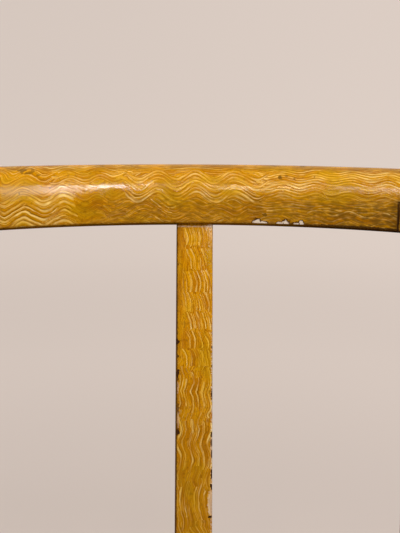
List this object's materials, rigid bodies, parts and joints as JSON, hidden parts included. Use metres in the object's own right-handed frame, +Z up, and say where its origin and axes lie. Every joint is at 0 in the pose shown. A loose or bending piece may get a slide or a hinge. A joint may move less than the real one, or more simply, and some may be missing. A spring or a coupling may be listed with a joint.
{
  "type": "painted side chair",
  "caption": "Free-standing side chair: bowed crest rail over one flat slat, bent round posts, turned front legs and rungs, woven rush seat, comb-painted wood",
  "frame": {"origin": "on the floor, under the middle of the chair's overall width and depth", "axes": "+Z up; the front of the chair faces -Y; +X is to the right of someone looking at its front"},
  "size_m": [0.468, 0.4646, 0.85],
  "materials": {
    "comb_paint": "gloss",
    "bare_wood": "matte",
    "peg_wood": "satin",
    "rush": "matte",
    "straw": "matte"
  },
  "bodies": {
    "root": {"rear_post_right": "comb_paint", "rear_post_left": "comb_paint", "front_leg_right": "comb_paint", "front_leg_left": "comb_paint", "crest_rail": "comb_paint", "back_slat": "comb_paint", "stay_rail": "comb_paint", "front_stretcher_upper": "comb_paint", "front_stretcher_lower": "comb_paint", "side_stretcher_upper_right": "comb_paint", "side_stretcher_upper_left": "comb_paint", "side_stretcher_lower_right": "comb_paint", "side_stretcher_lower_left": "comb_paint", "back_stretcher": "comb_paint", "seat_rail_front": "bare_wood", "seat_rail_back": "bare_wood", "seat_rail_right": "bare_wood", "seat_rail_left": "bare_wood", "crest_pegs": "peg_wood", "slat_pegs": "peg_wood", "stay_rail_pegs": "peg_wood", "rush_seat": "rush", "seat_stuffing": "straw"}
  },
  "joints": []
}
